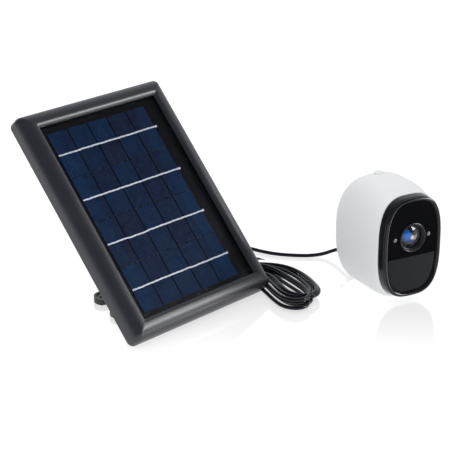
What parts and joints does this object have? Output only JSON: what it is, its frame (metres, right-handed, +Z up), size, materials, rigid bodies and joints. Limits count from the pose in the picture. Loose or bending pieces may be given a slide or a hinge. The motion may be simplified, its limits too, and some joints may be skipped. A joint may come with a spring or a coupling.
{
  "type": "solar-powered security camera",
  "caption": "Battery security camera with a framed solar charging panel on a folding swivel stand, joined by a lead whose spare length is tied in a hank.",
  "frame": {"origin": "on the floor, in the middle of the footprint of the panel, its stand and the camera, leaving out the free lead", "axes": "+Z up; +X along the panel's lower edge towards the camera; the glass faces -Y and up"},
  "size_m": [0.2176, 0.2024, 0.1292],
  "materials": {
    "frame_charcoal": "satin, faintly textured",
    "cover_glass": "clear toughened glass",
    "cell_blue": "dark blue crystalline cells",
    "ribbon_silver": "bright solder",
    "sheet_black": "black laminate",
    "seal_rubber": "matt",
    "cover_black": "fine moulded texture",
    "screw_steel": "plated",
    "board_green": "solder mask",
    "insert_brass": "turned",
    "stand_black": "satin",
    "knob_black": "matt",
    "pivot_steel": "plated",
    "housing_white": "white, satin gloss",
    "bezel_black": "polished black",
    "face_black": "mirror-like black window",
    "window_grey": "dark translucent",
    "lens_black": "anodised",
    "lens_coated": "coated glass",
    "filter_glass": "coated glass",
    "chip_dark": "silicon",
    "led_clear": "smoked epoxy",
    "pack_dark": "shrink sleeve",
    "contact_gold": "plated springs",
    "magnet_steel": "nickel",
    "spring_steel": "wire",
    "cable_black": "glossy sheath",
    "tie_black": "soft strap",
    "plug_steel": "stamped"
  },
  "bodies": {
    "base": {"panel_frame": "frame_charcoal", "glass_cover": "cover_glass", "solar_cells": "cell_blue", "busbars": "ribbon_silver", "cell_backsheet": "sheet_black", "panel_gasket": "seal_rubber", "panel_back_cover": "cover_black", "panel_screws": "screw_steel", "charge_board": "board_green", "stand_insert": "insert_brass", "lead_gland": "seal_rubber", "panel_clevis": "stand_black", "lock_nut": "pivot_steel", "upper_bolt": "pivot_steel", "camera_housing": "housing_white", "door_pin": "pivot_steel", "front_bezel": "bezel_black", "front_glass": "face_black", "motion_window": "window_grey", "infrared_leds": "led_clear", "motion_sensor": "magnet_steel", "lens_ring": "lens_black", "lens_glass": "lens_coated", "lens_barrel": "lens_black", "rear_lens": "lens_coated", "image_sensor": "chip_dark", "sensor_board": "board_green", "main_board": "board_green", "speaker": "knob_black", "microphone": "magnet_steel", "battery_pack": "pack_dark", "battery_contacts": "contact_gold", "door_magnets": "magnet_steel", "button_switch": "board_green", "usb_socket": "plug_steel", "magnet_dish": "magnet_steel", "tripod_insert": "insert_brass", "housing_screws": "screw_steel", "plug_shell": "plug_steel", "usb_plug": "cable_black", "plug_relief": "cable_black", "panel_lead": "cable_black", "camera_lead": "cable_black", "lead_hank": "cable_black", "hank_tie": "tie_black"},
    "upper_knob": {"upper_knob": "knob_black"},
    "link_arm": {"link_arm": "stand_black"},
    "foot_clevis": {"foot_clevis": "stand_black", "lower_bolt": "pivot_steel", "swivel_rivet": "pivot_steel"},
    "lower_knob": {"lower_knob": "knob_black"},
    "foot_plate": {"foot_plate": "stand_black", "swivel_washer": "seal_rubber"},
    "battery_door": {"battery_door": "housing_white", "door_seal": "seal_rubber"},
    "sync_button": {"sync_button": "housing_white", "button_spring": "spring_steel"},
    "port_flap": {"port_flap": "seal_rubber"},
    "infrared_cut_filter": {"infrared_cut_filter": "filter_glass"}
  },
  "joints": [
    {"name": "arm_tilt", "type": "hinge", "parent": "base", "child": "link_arm", "pos_m": [-0.04525, 0.05876, 0.05066], "axis": [1, 0, 0], "range_deg": [0, 110]},
    {"name": "upper_knob_turn", "type": "hinge", "parent": "base", "child": "upper_knob", "pos_m": [-0.04525, 0.05876, 0.05066], "axis": [1, 0, 0], "range_deg": [0, 360]},
    {"name": "foot_tilt", "type": "hinge", "parent": "link_arm", "child": "foot_clevis", "pos_m": [-0.04525, 0.03632, 0.016], "axis": [1, 0, 0], "range_deg": [0, 60]},
    {"name": "lower_knob_turn", "type": "hinge", "parent": "foot_clevis", "child": "lower_knob", "pos_m": [-0.04525, 0.03632, 0.016], "axis": [1, 0, 0], "range_deg": [0, 360]},
    {"name": "foot_swivel", "type": "hinge", "parent": "foot_clevis", "child": "foot_plate", "pos_m": [-0.04525, 0.03632, 0.0043], "axis": [0, 0, 1], "continuous": true},
    {"name": "battery_door_hinge", "type": "hinge", "parent": "base", "child": "battery_door", "pos_m": [0.10592, -0.04924, 0.03925], "axis": [0, 0, 1], "range_deg": [0, 75]},
    {"name": "sync_button_press", "type": "slide", "parent": "base", "child": "sync_button", "axis": [0, 0, -1], "range_m": [0, 0.0008], "stiffness_N_per_m": 900, "springref_m": -0.0005, "deforming": ["button_spring"]},
    {"name": "port_flap_hinge", "type": "hinge", "parent": "base", "child": "port_flap", "pos_m": [0.09118, -0.02826, 0.01565], "axis": [0.9511, -0.309, 0], "range_deg": [0, 70]},
    {"name": "infrared_filter_slide", "type": "slide", "parent": "base", "child": "infrared_cut_filter", "axis": [-0.9511, 0.309, 0], "range_m": [0, 0.008]}
  ]
}
